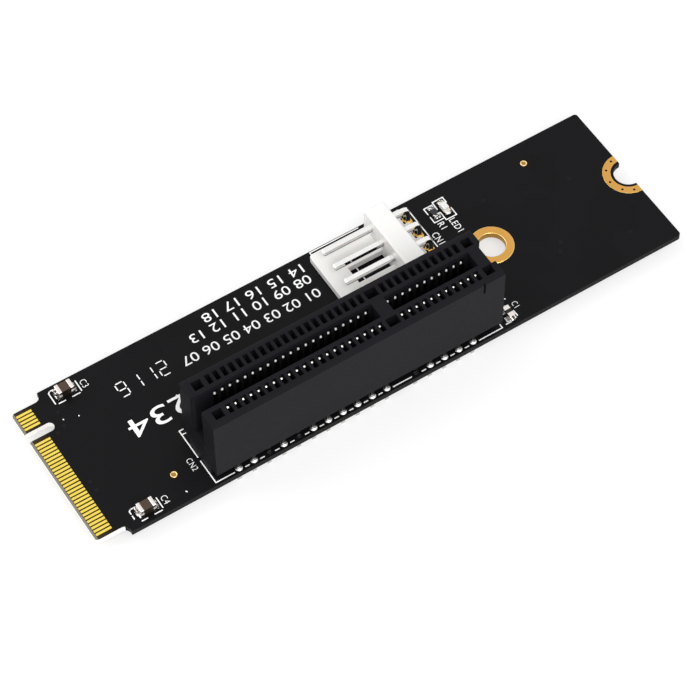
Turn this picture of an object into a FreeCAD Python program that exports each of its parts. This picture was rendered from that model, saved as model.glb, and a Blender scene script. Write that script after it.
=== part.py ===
"""M.2 plug-in adapter card carrying a four-lane expansion slot and a four-pin power header.

Frame, in millimetres: +X runs along the card from the leading edge of its plug-in tab, +Y across the
card towards the power header, +Z up through the component side. The origin is the middle of the
leading edge, on the underside of the board.
"""
import FreeCAD, Part
import math
import os

V = FreeCAD.Vector

# --- Laminate board -------------------------------------------------------------------------------
board_length = 80.0
board_thickness = 0.8
board_corner_radius = 0.4
shoulder_depth = 1.075          # step from the side of the tab to the side of the board
copper_thickness = 0.04         # plated copper of contacts, rings and pads
small_round_sides = 12          # flat sides that stand for the rim of a tiny round pad

# Plug-in tab and its contacts: positions are numbered across the tab, odd ones on the top face.
tab_length = 3.95
tab_fillet_radius = 0.8
tab_corner_radius = 0.4
tab_side_margin = 0.5           # bare laminate beside the outermost contact
tab_bevel_length = 0.25
tab_bevel_depth = 0.15
finger_positions = 75
finger_pitch = 0.25             # from one position to the next, on opposite faces
finger_width = 0.35
finger_length = 2.0
finger_setback = 0.3            # from the leading edge
key_first = 59                  # positions lost to the key notch
key_last = 66
notch_width = 1.2
notch_depth = 3.5

# Screw holes
screw_radius = 1.75
ring_radius = 2.75
mid_hole_x = 60.0
end_ring_radius = 3.1
end_ring_clearance = 0.35       # the end ring stops short of the unplated half hole
fiducial_radius = 0.45
fiducial_far_inset = 2.9        # far fiducial: from the far side, and from the card's end
fiducial_end_inset = 9.8
fiducial_near_inset = 3.9       # near fiducial: from the near side, and from the tab's shoulder
fiducial_shoulder_inset = 7.75

# --- Expansion slot ---------------------------------------------------------------------------------
slot_start = 15.3               # open end of the slot, from the leading edge
slot_edge_gap = 0.25            # board left over beside the near wall
slot_width = 7.45
slot_height = 11.25
slot_bevel_width = 0.55
slot_bevel_height = 0.22
contact_pitch = 1.0
long_group = 21                 # contacts a side between the open end and the key
short_group = 11                # contacts a side between the key and the closed end
key_gap = 3.0                   # from the last contact of one group to the first of the next
key_web = 1.7
open_end_margin = 3.05          # from the open end to the first contact
closed_end_margin = 2.85        # from the last contact to the closed end
closed_end_wall = 2.0
channel_width = 1.8
channel_floor = 4.5             # above the board
lead_in_width = 0.2
lead_in_depth = 0.4
mouth_radius = 0.5
cavity_width = 0.6
cavity_length = 1.3
bridge_length = 0.72            # bridge between channel and cavity, over each contact
bridge_thickness = 0.5
foot_half_width = 2.3           # middle foot that stands on the board
skirt_gap = 1.5                 # clear height over the outer solder joints
end_recess_depth = 0.53
end_recess_width = 3.23
pocket_pitch = 1.5              # end pocket to the nearest contact
pocket_length = 1.2
key_pocket_length = 1.5
pocket_width = 1.2
pocket_depth = 3.0
mark_slit_width = 0.3
mark_slit_depth = 0.25
mark_slit_drop = 1.8

# --- Spring contacts of the slot --------------------------------------------------------------------
contact_thickness = 0.2
contact_side_clearance = 0.075  # each side of a contact in its cavity
contact_gap = 1.0               # between facing contacts, with no card in the slot
contact_height = 8.2            # of the contact point above the board
tip_recess = 0.55               # of the contact's free end below the slot's top
tip_clearance = 0.06            # from the contact's free end to the bridge
root_wall_clearance = 0.15      # from an outer contact's root to the cavity's outer wall
root_rise = 1.0                 # straight part of a root above the cavity floor
inner_bow = 2.3                 # furthest reach of an inner contact from the channel's middle
outer_row_offset = 3.3          # tails of the outer rows, from the channel's middle
inner_row_offset = 1.25
outer_bend_low = 0.8            # cranked part of an outer contact, above the board
outer_bend_high = 1.2
tail_protrusion = 1.5           # every tail and leg below the underside
tail_hole_clearance = 0.05

# --- Solder joints of the slot ----------------------------------------------------------------------
solder_sides = 5
joint_radius = 0.52
joint_top_radius = 0.3
joint_height = 0.55
joint_depth = 0.7

# --- Power header -----------------------------------------------------------------------------------
header_pins = 4
header_pitch = 2.5
header_start = 40.4             # front of the tray, from the leading edge
header_edge_gap = 1.05          # board left over beside the far side of the tray
header_side_margin = 1.55       # from an outer pin to the side of the tray
header_corner_radius = 0.5
tray_thickness = 1.0
tray_length = 7.8
wall_thickness = 2.8
wall_height = 4.2
wall_edge_radius = 0.25
rear_ledge = 2.15
rear_notch_length = 0.6
notch_pad_clearance = 0.02      # from a pad to the sides of its notch in the ledge
window_setback = 3.0            # from the front of the tray
pin_size = 0.64
pin_height = 2.45               # of the pins' middle line above the board
pin_tip_setback = 1.0
pin_tip_chamfer = 0.15
pin_bend_radius = 0.3           # inside of the bend
leg_offset = 0.2                # from the rear ledge to the middle of the legs
leg_hole_clearance = 0.06
header_pad_radius = 0.7
leg_joint_radius = 0.8
leg_joint_top_radius = 0.5
leg_joint_depth = 0.8

# --- Chip parts -------------------------------------------------------------------------------------
large_chip_length = 2.0
large_chip_width = 1.25
large_chip_height = 1.25
small_chip_length = 1.6
small_chip_width = 0.8
small_capacitor_height = 0.8
resistor_height = 0.45
large_terminal_length = 0.45
small_terminal_length = 0.35
terminal_thickness = 0.02
chip_solder_length = 0.3
chip_solder_height = 0.35       # lower end of the fillets up the terminals
tab_capacitor_inset = 2.8       # both capacitors by the tab, from the shoulder
far_capacitor_inset = 1.65      # from the far side of the board
near_capacitor_inset = 1.55     # from the near side of the board
slot_capacitor_gap = 1.8        # from the closed end of the slot
slot_capacitor_inset = 1.55     # from the near side of the board
resistor_gap = 3.43             # from the header's legs, along the board
resistor_inset = 3.38           # from the far side of the board
led_gap = 1.5                   # from the resistor
led_base_height = 0.3
led_lens_height = 0.35
led_terminal_length = 0.25
led_lens_gap = 0.05             # from the lens to each terminal
led_lens_chamfer = 0.1

# --- Sizes that follow from those above -------------------------------------------------------------
board_top = board_thickness
finger_middle = (finger_positions + 1) / 2
tab_half = (finger_positions - 1) / 2 * finger_pitch + finger_width / 2 + tab_side_margin
board_half = tab_half + shoulder_depth
notch_y = ((key_first + key_last) / 2 - finger_middle) * finger_pitch
tail_end = -tail_protrusion

long_start = slot_start + open_end_margin
short_start = long_start + (long_group - 1) * contact_pitch + key_gap
slot_end = short_start + (short_group - 1) * contact_pitch + closed_end_margin
key_x = short_start - key_gap / 2
slot_near = slot_edge_gap - board_half
slot_far = slot_near + slot_width
slot_y = (slot_near + slot_far) / 2
slot_top = board_top + slot_height
cavity_floor = board_top + channel_floor
cavity_inner = channel_width / 2 + bridge_length
cavity_outer = cavity_inner + cavity_length
contact_width = cavity_width - 2 * contact_side_clearance
outer_root = cavity_outer - root_wall_clearance - contact_thickness / 2
long_positions = [long_start + step * contact_pitch for step in range(long_group)]
short_positions = [short_start + step * contact_pitch for step in range(short_group)]
contact_positions = long_positions + short_positions

header_far = board_half - header_edge_gap
header_near = header_far - 2 * header_side_margin - (header_pins - 1) * header_pitch
header_y = (header_far + header_near) / 2
wall_start = header_start + tray_length
wall_end = wall_start + wall_thickness
tray_end = wall_end + rear_ledge
leg_x = tray_end + leg_offset
pin_z = board_top + pin_height
pin_places = [header_far - header_side_margin - step * header_pitch for step in range(header_pins)]


def save(name, shape):
    """Write one sub-part to its STEP file."""
    shape.exportStep("parts/" + name + ".step")


def block(x0, x1, y0, y1, z0, z1):
    """Rectangular block between two opposite corners."""
    return Part.makeBox(x1 - x0, y1 - y0, z1 - z0, V(x0, y0, z0))


def prism_along_x(outline, x0, x1):
    """Outline of (y, z) points carried from x0 to x1."""
    points = [V(x0, y, z) for y, z in outline]
    return Part.Face(Part.makePolygon(points + points[:1])).extrude(V(x1 - x0, 0, 0))


def prism_along_y(outline, y0, y1):
    """Outline of (x, z) points carried from y0 to y1."""
    points = [V(x, y0, z) for x, z in outline]
    return Part.Face(Part.makePolygon(points + points[:1])).extrude(V(0, y1 - y0, 0))


def upright_edges(shape, places):
    """Vertical edges of a shape that stand at the given (x, y) places."""
    found = []
    for edge in shape.Edges:
        ends = [vertex.Point for vertex in edge.Vertexes]
        upright = len(ends) == 2 and abs(ends[0].z - ends[1].z) > edge.Length / 2
        if upright and any(math.hypot(ends[0].x - x, ends[0].y - y) < Part.Precision.confusion() * 100
                           for x, y in places):
            found.append(edge)
    return found


def drill(x, y, radius, z0, z1):
    """Upright cylinder, used as a drill or as a disc."""
    return Part.makeCylinder(radius, z1 - z0, V(x, y, z0))


def faceted_cone(x, y, z, rise, radius, end_radius, sides):
    """Tapered round form with flat sides, from radius at z to end_radius at z + rise."""
    turns = [2 * math.pi * number / sides for number in range(sides)]
    base = [V(x + radius * math.cos(turn), y + radius * math.sin(turn), z) for turn in turns]
    end = [V(x + end_radius * math.cos(turn), y + end_radius * math.sin(turn), z + rise)
           for turn in turns]
    outlines = [base, end]
    for number in range(sides):
        after = (number + 1) % sides
        outlines.append([base[number], base[after], end[after], end[number]])
    faces = [Part.Face(Part.makePolygon(outline + outline[:1])) for outline in outlines]
    solid = Part.Solid(Part.makeShell(faces))
    return solid if solid.Volume > 0 else solid.reversed()


def small_round(x, y, z, radius, height):
    """Tiny upright disc, drawn with a few flat sides."""
    return faceted_cone(x, y, z, height, radius, radius, small_round_sides)


# --- Board and its copper ---------------------------------------------------------------------------
def outer_tail_side(index):
    """Side of the channel, -1 near or +1 far, whose contact has its tail in the outer row."""
    return -1 if index % 2 == 0 else 1


def tail_places():
    """Every slot tail as (x, y, whether it stands in an outer row)."""
    places = []
    for index, x in enumerate(contact_positions):
        side = outer_tail_side(index)
        places.append((x, slot_y + side * outer_row_offset, True))
        places.append((x, slot_y - side * inner_row_offset, False))
    return places


def board_blank():
    """Board outline with its tab, rounded corners and bevelled leading edge."""
    outline = [(0, tab_half), (tab_length, tab_half), (tab_length, board_half),
               (board_length, board_half)]
    outline += [(x, -y) for x, y in reversed(outline)]
    points = [V(x, y, 0) for x, y in outline]
    blank = Part.Face(Part.makePolygon(points + points[:1])).extrude(V(0, 0, board_thickness))
    corners = [(tab_length, [tab_half], tab_fillet_radius), (0, [tab_half], tab_corner_radius),
               (board_length, [board_half], board_corner_radius)]
    for x, (y,), radius in corners:
        blank = blank.makeFillet(radius, upright_edges(blank, [(x, y), (x, -y)]))
    upper_bevel = [(0, board_top - tab_bevel_depth), (tab_bevel_length, board_top), (0, board_top)]
    lower_bevel = [(x, board_top - z) for x, z in upper_bevel]
    for bevel in (upper_bevel, lower_bevel):
        blank = blank.cut(prism_along_y(bevel, -tab_half, tab_half))
    return blank


def board_cutters():
    """Key notch, screw holes, tail holes and leg holes."""
    notch_end = notch_depth - notch_width / 2
    cutters = [block(0, notch_end, notch_y - notch_width / 2, notch_y + notch_width / 2, 0, board_top),
               drill(notch_end, notch_y, notch_width / 2, 0, board_top),
               drill(mid_hole_x, 0, screw_radius, 0, board_top),
               drill(board_length, 0, screw_radius, 0, board_top)]
    hole_x = contact_width / 2 + tail_hole_clearance
    hole_y = contact_thickness / 2 + tail_hole_clearance
    for x, y, _ in tail_places():
        cutters.append(block(x - hole_x, x + hole_x, y - hole_y, y + hole_y, 0, board_top))
    hole = pin_size / 2 + leg_hole_clearance
    for y in pin_places:
        cutters.append(block(leg_x - hole, leg_x + hole, y - hole, y + hole, 0, board_top))
    return cutters


def circuit_board():
    """Laminate board with all its holes."""
    return board_blank().cut(board_cutters())


def edge_contacts(first, z0):
    """Contact strips of one face of the tab, from an odd or an even first position."""
    strips = []
    for number in range(first, finger_positions + 1, 2):
        if not key_first <= number <= key_last:
            y = (number - finger_middle) * finger_pitch
            strips.append(block(finger_setback, finger_setback + finger_length, y - finger_width / 2,
                                y + finger_width / 2, z0, z0 + copper_thickness))
    return Part.makeCompound(strips)


def mid_hole_rings():
    """Ring round the middle screw hole on both faces."""
    rings = []
    for z in (-copper_thickness, board_top):
        ring = drill(mid_hole_x, 0, ring_radius, z, z + copper_thickness)
        rings.append(ring.cut(drill(mid_hole_x, 0, screw_radius, z, z + copper_thickness)))
    return Part.makeCompound(rings)


def end_notch_pads():
    """Half ring round the end notch on both faces."""
    pads = []
    for z in (-copper_thickness, board_top):
        top = z + copper_thickness
        pad = drill(board_length, 0, end_ring_radius, z, top)
        reach = end_ring_radius + screw_radius
        inboard = block(board_length - reach, board_length, -reach, reach, z, top)
        hole = drill(board_length, 0, screw_radius + end_ring_clearance, z, top)
        pads.append(pad.common(inboard).cut(hole))
    return Part.makeCompound(pads)


def fiducial_marks():
    """Two alignment dots on the component side."""
    places = [(board_length - fiducial_end_inset, board_half - fiducial_far_inset),
              (tab_length + fiducial_shoulder_inset, fiducial_near_inset - board_half)]
    return Part.makeCompound([small_round(x, y, board_top, fiducial_radius, copper_thickness)
                              for x, y in places])


# --- Expansion slot ---------------------------------------------------------------------------------
def channel_cutters():
    """Card channel on both sides of the key web, with its tapered lead-in."""
    half = channel_width / 2
    wide = half + lead_in_width
    low = slot_top - lead_in_depth
    taper = [(slot_y - half, low), (slot_y + half, low), (slot_y + wide, slot_top),
             (slot_y - wide, slot_top)]
    runs = [(slot_start, key_x - key_web / 2), (key_x + key_web / 2, slot_end - closed_end_wall)]
    cutters = []
    for x0, x1 in runs:
        cutters.append(block(x0, x1, slot_y - half, slot_y + half, cavity_floor, slot_top))
        cutters.append(prism_along_x(taper, x0, x1))
    return cutters


def cavity_cutter(x):
    """Cavities of one facing pair of contacts: open to the channel below the two bridges."""
    under = slot_top - bridge_thickness
    half_outline = [(0, cavity_floor), (cavity_outer, cavity_floor), (cavity_outer, slot_top),
                    (cavity_inner, slot_top), (cavity_inner, under), (0, under)]
    outline = half_outline[1:5] + [(-v, z) for v, z in reversed(half_outline[1:5])]
    return prism_along_x([(slot_y + v, z) for v, z in outline], x - cavity_width / 2,
                         x + cavity_width / 2)


def root_cutters(index, x):
    """Tight slots in which the roots of one facing pair of contacts are pressed."""
    side = outer_tail_side(index)
    half = contact_thickness / 2
    cutters = []
    for y in (slot_y + side * outer_root, slot_y - side * inner_row_offset):
        cutters.append(block(x - contact_width / 2, x + contact_width / 2, y - half, y + half,
                             board_top, cavity_floor))
    return cutters


def pocket_cutters():
    """Shallow moulding pockets at both ends of the contact rows and beside the key."""
    offset = (cavity_inner + cavity_outer) / 2
    places = [(contact_positions[0] - pocket_pitch, pocket_length), (key_x, key_pocket_length),
              (contact_positions[-1] + pocket_pitch, pocket_length)]
    cutters = []
    for x, length in places:
        for y in (slot_y - offset, slot_y + offset):
            cutters.append(block(x - length / 2, x + length / 2, y - pocket_width / 2,
                                 y + pocket_width / 2, slot_top - pocket_depth, slot_top))
    return cutters


def skirt_cutters():
    """Clear space under both long walls, over the outer solder joints."""
    top = board_top + skirt_gap
    return [block(slot_start, slot_end, slot_near, slot_y - foot_half_width, board_top, top),
            block(slot_start, slot_end, slot_y + foot_half_width, slot_far, board_top, top)]


def slot_housing():
    """Moulded housing: walls, key web, cavities, pockets and feet in one piece."""
    low = slot_top - slot_bevel_height
    outline = [(slot_near, board_top), (slot_far, board_top), (slot_far, low),
               (slot_far - slot_bevel_width, slot_top), (slot_near + slot_bevel_width, slot_top),
               (slot_near, low)]
    housing = prism_along_x(outline, slot_start, slot_end)
    housing = housing.cut(channel_cutters()[:1])
    mouth = [(slot_start, slot_y - channel_width / 2), (slot_start, slot_y + channel_width / 2)]
    housing = housing.makeFillet(mouth_radius, upright_edges(housing, mouth))
    recess = block(slot_end - end_recess_depth, slot_end, slot_y - end_recess_width / 2,
                   slot_y + end_recess_width / 2, board_top, slot_top)
    mark_x = contact_positions[-1]
    mark = block(mark_x - mark_slit_width / 2, mark_x + mark_slit_width / 2, slot_near,
                 slot_near + mark_slit_depth, slot_top - mark_slit_drop, slot_top)
    cutters = channel_cutters()[1:] + pocket_cutters() + skirt_cutters() + [recess, mark]
    for index, x in enumerate(contact_positions):
        cutters.append(cavity_cutter(x))
        cutters += root_cutters(index, x)
    return housing.cut(cutters)


def strip_outline(middle_line):
    """Outline of a flat strip of contact metal that follows a line of (v, z) points."""
    half = contact_thickness / 2
    left = []
    right = []
    for number, (v, z) in enumerate(middle_line):
        before = middle_line[max(number - 1, 0)]
        after = middle_line[min(number + 1, len(middle_line) - 1)]
        turn_in = math.atan2(z - before[1], v - before[0]) if number else None
        turn_out = math.atan2(after[1] - z, after[0] - v) if after != (v, z) else turn_in
        turn_in = turn_out if turn_in is None else turn_in
        heading = (turn_in + turn_out) / 2
        reach = half / math.cos((turn_out - turn_in) / 2)
        shift_v = -math.sin(heading) * reach
        shift_z = math.cos(heading) * reach
        left.append((v + shift_v, z + shift_z))
        right.append((v - shift_v, z - shift_z))
    return left + right[::-1]


def contact(x, side, in_outer_row):
    """One spring contact: tail, root in its tight slot, sprung beam and turned-back free end."""
    point = (contact_gap / 2 + contact_thickness / 2, board_top + contact_height)
    free_end = (cavity_inner + tip_clearance + contact_thickness / 2, slot_top - tip_recess)
    if in_outer_row:
        line = [(outer_row_offset, tail_end), (outer_row_offset, board_top + outer_bend_low),
                (outer_root, board_top + outer_bend_high), (outer_root, cavity_floor + root_rise)]
    else:
        line = [(inner_row_offset, tail_end), (inner_row_offset, cavity_floor + contact_thickness),
                (inner_bow, cavity_floor + root_rise)]
    outline = strip_outline(line + [point, free_end])
    return prism_along_x([(slot_y + side * v, z) for v, z in outline], x - contact_width / 2,
                         x + contact_width / 2)


def slot_contacts(side, in_outer_row):
    """All contacts on one side of the channel whose tails stand in the same row."""
    chosen = [x for index, x in enumerate(contact_positions)
              if (outer_tail_side(index) == side) == in_outer_row]
    return Part.makeCompound([contact(x, side, in_outer_row) for x in chosen])


def solder_joint(x, y, z, rise, radius, top_radius, hole):
    """Tapered collar of solder round a square or flat tail; a negative rise points down."""
    collar = faceted_cone(x, y, z, rise, radius, top_radius, solder_sides)
    return collar.cut(block(x - hole[0] / 2, x + hole[0] / 2, y - hole[1] / 2, y + hole[1] / 2,
                            min(z, z + rise), max(z, z + rise)))


def slot_solder_joints(on_top):
    """Solder round the outer tails on the top face, or round every tail on the underside."""
    tail = (contact_width, contact_thickness)
    joints = []
    for x, y, in_outer_row in tail_places():
        if not on_top:
            joints.append(solder_joint(x, y, 0, -joint_depth, joint_radius, joint_top_radius, tail))
        elif in_outer_row:
            joints.append(solder_joint(x, y, board_top, joint_height, joint_radius, joint_top_radius,
                                       tail))
    return Part.makeCompound(joints)


# --- Power header -----------------------------------------------------------------------------------
def header_housing():
    """Tray with its window and notched rear ledge, and the wall that grips the pins."""
    tray_top = board_top + tray_thickness
    tray = block(header_start, tray_end, header_near, header_far, board_top, tray_top)
    corners = [(header_start, header_near), (header_start, header_far)]
    tray = tray.makeFillet(header_corner_radius, upright_edges(tray, corners))
    wall_top = board_top + wall_height
    wall = block(wall_start, wall_end, header_near, header_far, board_top, wall_top)
    top_edges = [edge for edge in wall.Edges
                 if edge.BoundBox.ZMin > (board_top + wall_top) / 2]
    wall = wall.makeFillet(wall_edge_radius, top_edges)
    cutters = [block(header_start + window_setback, wall_start, header_y - header_pitch / 2,
                     header_y + header_pitch / 2, board_top, tray_top)]
    for y in pin_places:
        half_notch = header_pad_radius + notch_pad_clearance
        cutters.append(block(tray_end - rear_notch_length, tray_end, y - half_notch, y + half_notch,
                             board_top, tray_top))
        cutters.append(block(wall_start, wall_end, y - pin_size / 2, y + pin_size / 2,
                             pin_z - pin_size / 2, pin_z + pin_size / 2))
    return tray.fuse(wall).cut(cutters)


def header_pin(y):
    """Square pin, bent down behind the wall and through the board."""
    half = pin_size / 2
    tip_x = header_start + pin_tip_setback
    outer_radius = pin_bend_radius + pin_size
    bend = V(leg_x + half - outer_radius, y - half, pin_z + half - outer_radius)
    straight = block(tip_x, bend.x, y - half, y + half, pin_z - half, pin_z + half)
    tip_edges = [edge for edge in straight.Edges if edge.BoundBox.XMax < (tip_x + bend.x) / 2]
    straight = straight.makeChamfer(pin_tip_chamfer, tip_edges)
    leg = block(leg_x - half, leg_x + half, y - half, y + half, tail_end, bend.z)
    quarter = Part.makeCylinder(outer_radius, pin_size, bend, V(0, 1, 0))
    quarter = quarter.cut(Part.makeCylinder(pin_bend_radius, pin_size, bend, V(0, 1, 0)))
    quadrant = block(bend.x, bend.x + outer_radius, y - half, y + half, bend.z, bend.z + outer_radius)
    return straight.fuse([quarter.common(quadrant), leg]).removeSplitter()


def header_pads():
    """Gold pads, tinned up to the header legs, on the component side."""
    half = pin_size / 2
    pads = []
    for y in pin_places:
        leg_hole = block(leg_x - half, leg_x + half, y - half, y + half, board_top,
                         board_top + copper_thickness)
        pads.append(small_round(leg_x, y, board_top, header_pad_radius, copper_thickness).cut(leg_hole))
    return Part.makeCompound(pads)


def header_solder_joints():
    """Solder round the header legs on the underside."""
    leg = (pin_size, pin_size)
    return Part.makeCompound([solder_joint(leg_x, y, 0, -leg_joint_depth, leg_joint_radius,
                                           leg_joint_top_radius, leg) for y in pin_places])


# --- Chip parts -------------------------------------------------------------------------------------
def placed(shape, x, y, along_y):
    """Move a chip built about the origin to its place, turned to lie along X or along Y."""
    copy = shape.copy()
    if along_y:
        copy.rotate(V(0, 0, 0), V(0, 0, 1), 90)
    copy.translate(V(x, y, board_top))
    return copy


def chip_body(length, width, height):
    """Plain chip block, standing clear of the board by the thickness of its terminals."""
    return block(-length / 2, length / 2, -width / 2, width / 2, terminal_thickness,
                 terminal_thickness + height)


def chip_terminals(length, width, height, terminal_length):
    """Metal caps wrapped round both ends of a chip block."""
    skin = terminal_thickness
    cap = block(-length / 2 - skin, terminal_length - length / 2, -width / 2 - skin, width / 2 + skin,
                0, height + 2 * skin).cut(chip_body(length, width, height))
    return [cap, cap.mirror(V(0, 0, 0), V(1, 0, 0))]


def chip_fillets(length, width):
    """Solder fillets that run from the board up the end faces of a chip."""
    start = length / 2 + terminal_thickness
    reach = start + chip_solder_length
    hollow = (start + chip_solder_length / 3, chip_solder_height / 3)
    outline = [(start, 0), (reach, 0), hollow, (start, chip_solder_height)]
    fillet = prism_along_y(outline, -width / 2, width / 2)
    return [fillet, fillet.mirror(V(0, 0, 0), V(1, 0, 0))]


def chip_list():
    """Name, place, direction, sizes and terminal length of every plain chip."""
    tab_x = tab_length + tab_capacitor_inset
    large = (large_chip_length, large_chip_width, large_chip_height)
    small = (small_chip_length, small_chip_width, small_capacitor_height)
    flat = (small_chip_length, small_chip_width, resistor_height)
    return [("capacitor_far", tab_x, board_half - far_capacitor_inset, False, large,
             large_terminal_length),
            ("capacitor_near", tab_x, near_capacitor_inset - board_half, False, large,
             large_terminal_length),
            ("capacitor_slot", slot_end + slot_capacitor_gap, slot_capacitor_inset - board_half, True,
             small, small_terminal_length),
            ("resistor", leg_x + resistor_gap, board_half - resistor_inset, True, flat,
             small_terminal_length)]


def save_chips():
    """Write every chip's body and terminals, and all the chips' solder as one group."""
    fillets = []
    for name, x, y, along_y, size, terminal_length in chip_list():
        save(name + "_body", placed(chip_body(*size), x, y, along_y))
        caps = [placed(cap, x, y, along_y) for cap in chip_terminals(*size, terminal_length)]
        save(name + "_terminals", Part.makeCompound(caps))
        fillets += [placed(fillet, x, y, along_y) for fillet in chip_fillets(*size[:2])]
    x = leg_x + resistor_gap + led_gap
    y = board_half - resistor_inset
    base_size = (small_chip_length, small_chip_width, led_base_height)
    save("led_base", placed(chip_body(*base_size), x, y, True))
    caps = [placed(cap, x, y, True) for cap in chip_terminals(*base_size, led_terminal_length)]
    save("led_terminals", Part.makeCompound(caps))
    fillets += [placed(fillet, x, y, True) for fillet in chip_fillets(*base_size[:2])]
    save("led_lens", placed(led_lens(), x, y, True))
    save("chip_solder_joints", Part.makeCompound(fillets))


def led_lens():
    """Clear resin block moulded on the middle of the LED's base."""
    half_length = small_chip_length / 2 - led_terminal_length - led_lens_gap
    low = terminal_thickness + led_base_height
    lens = block(-half_length, half_length, -small_chip_width / 2, small_chip_width / 2, low,
                 low + led_lens_height)
    rim = [edge for edge in lens.Edges if edge.BoundBox.ZMin > low + led_lens_height / 2]
    return lens.makeChamfer(led_lens_chamfer, rim)


os.makedirs("parts", exist_ok=True)
save("circuit_board", circuit_board())
save("edge_contacts_top", edge_contacts(1, board_top))
save("edge_contacts_bottom", edge_contacts(2, -copper_thickness))
save("mid_hole_rings", mid_hole_rings())
save("end_notch_pads", end_notch_pads())
save("fiducial_marks", fiducial_marks())
save("slot_housing", slot_housing())
for side_name, side in (("near", -1), ("far", 1)):
    save("slot_contacts_" + side_name + "_outer", slot_contacts(side, True))
    save("slot_contacts_" + side_name + "_inner", slot_contacts(side, False))
save("slot_solder_top", slot_solder_joints(True))
save("slot_solder_bottom", slot_solder_joints(False))
save("header_housing", header_housing())
for number, y in enumerate(pin_places, start=1):
    save("header_pin_" + str(number), header_pin(y))
save("header_pads", header_pads())
save("header_solder", header_solder_joints())
save_chips()
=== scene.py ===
"""Plug-in adapter card with a four-lane expansion slot and a four-pin power header.

The card is put together here as it is on a production line: the bare board with its gold, the slot
and its contacts, the header and its pins, the chips, the solder, the printed legend, and last the
studio.
"""
import math

import bpy
from mathutils import Matrix, Vector


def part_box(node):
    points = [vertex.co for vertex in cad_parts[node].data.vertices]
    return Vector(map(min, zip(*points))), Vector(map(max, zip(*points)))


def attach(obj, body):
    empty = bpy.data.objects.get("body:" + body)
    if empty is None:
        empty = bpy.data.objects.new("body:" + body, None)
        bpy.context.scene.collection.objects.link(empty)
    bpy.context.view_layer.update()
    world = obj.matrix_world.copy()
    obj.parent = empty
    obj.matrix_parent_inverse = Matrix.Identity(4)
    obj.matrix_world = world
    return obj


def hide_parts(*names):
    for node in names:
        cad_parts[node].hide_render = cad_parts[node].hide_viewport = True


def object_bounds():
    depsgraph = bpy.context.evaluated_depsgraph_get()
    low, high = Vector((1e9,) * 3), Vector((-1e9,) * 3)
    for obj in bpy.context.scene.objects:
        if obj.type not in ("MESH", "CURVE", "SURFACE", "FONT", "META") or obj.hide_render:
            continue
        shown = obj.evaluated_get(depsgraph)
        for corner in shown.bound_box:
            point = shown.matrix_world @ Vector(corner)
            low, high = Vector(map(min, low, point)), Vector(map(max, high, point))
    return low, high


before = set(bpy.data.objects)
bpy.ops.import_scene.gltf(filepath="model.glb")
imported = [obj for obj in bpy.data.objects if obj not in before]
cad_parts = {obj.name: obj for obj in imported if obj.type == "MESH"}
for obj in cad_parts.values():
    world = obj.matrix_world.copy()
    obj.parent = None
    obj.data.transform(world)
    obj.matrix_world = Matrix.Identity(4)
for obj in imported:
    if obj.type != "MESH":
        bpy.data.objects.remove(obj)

cad_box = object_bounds()
mm = 0.001

# --- Circuit board ----------------------------------------
# Glass-fibre laminate 0.8 mm thick, routed to shape and covered with black photo-imaged solder
# mask. The tab's contact row is left bare, so brown laminate shows between the gold contacts,
# coloured darker, near black, as painted shade in the narrow gaps, and cut glass fibre, almost
# white, shows along the tab's routed sides.
board_low, board_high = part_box("circuit_board")
board_top = board_high.z
mask_black = "#0b0b0d"
mask_over_copper = "#0d0d0f"
# Brown laminate between the contacts, darkened near black as painted shade of the narrow gaps.
bare_laminate_and_gap_shade = "#140d04"
bare_near_lip = "#382f1f"
bare_lip = "#7d776a"
routed_tab_side = "#f4f3f0"
routed_side = "#0b0a09"
bare_length = 2.36 * mm
bevel_length = 0.27 * mm
tab_side_length = 3.6 * mm
face_steepness = 0.8
trace_pitch = 0.5 * mm
trace_half_width = 0.08 * mm
trace_blur = 0.3
trace_start = 2.4 * mm
trace_end = 15.5 * mm
trace_reach = 9.3 * mm
pour_patch = 6.25 * mm
pour_blur = 0.01


def linear(hex_colour):
    """Linear RGBA of an sRGB hex colour."""
    values = [int(hex_colour[start:start + 2], 16) / 255 for start in (1, 3, 5)]
    return [v / 12.92 if v <= 0.04045 else ((v + 0.055) / 1.055) ** 2.4 for v in values] + [1.0]


def set_socket(socket, value):
    """Set a socket's value; a colour is given as its sRGB hex."""
    socket.default_value = linear(value) if isinstance(value, str) else value


def link(tree, node, links):
    """Link {socket: source} into a node; a source that is a node gives its first output in use."""
    for name, source in links.items():
        if isinstance(source, bpy.types.Node):
            source = next(output for output in source.outputs if output.enabled)
        tree.links.new(source, node.inputs[name])


def add_node(tree, kind, settings=None, links=None):
    """Add a node with its socket values or properties, and its links."""
    node = tree.nodes.new("ShaderNode" + kind)
    for name, value in (settings or {}).items():
        if isinstance(name, int) or name in node.inputs:
            set_socket(node.inputs[name], value)
        else:
            setattr(node, name, value)
    link(tree, node, links or {})
    return node


def start_finish(name, settings):
    """New material with one Principled shader; gives the material, its tree and its shader."""
    finish = bpy.data.materials.new(name)
    finish.use_nodes = True
    tree = finish.node_tree
    shader = tree.nodes["Principled BSDF"]
    for socket, value in settings.items():
        set_socket(shader.inputs[socket], value)
    return finish, tree, shader


# The real grains are a few hundredths of a millimetre, too fine to show, so that most of them are
# drawn at 0.1 to 0.35 mm, as coarse as they need to be.
def grain(tree, shader, size, depth, roughness, also_height=None):
    """Surface grain of a given size and depth, its roughness varying between two values."""
    place = add_node(tree, "TexCoord")
    speckle = add_node(tree, "TexNoise", {"Scale": 1 / size, "Detail": 3.0},
                       {"Vector": place.outputs["Object"]})
    polish = add_node(tree, "MapRange", {"From Min": 0.3, "From Max": 0.7, "To Min": roughness[0],
                                         "To Max": roughness[1]}, {"Value": speckle})
    height = speckle
    if also_height:
        height = add_node(tree, "Math", {"operation": "ADD"}, {0: speckle, 1: also_height})
    relief = add_node(tree, "Bump", {"Strength": 0.5, "Distance": depth}, {"Height": height})
    link(tree, shader, {"Roughness": polish, "Normal": relief})
    return place, speckle


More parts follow.
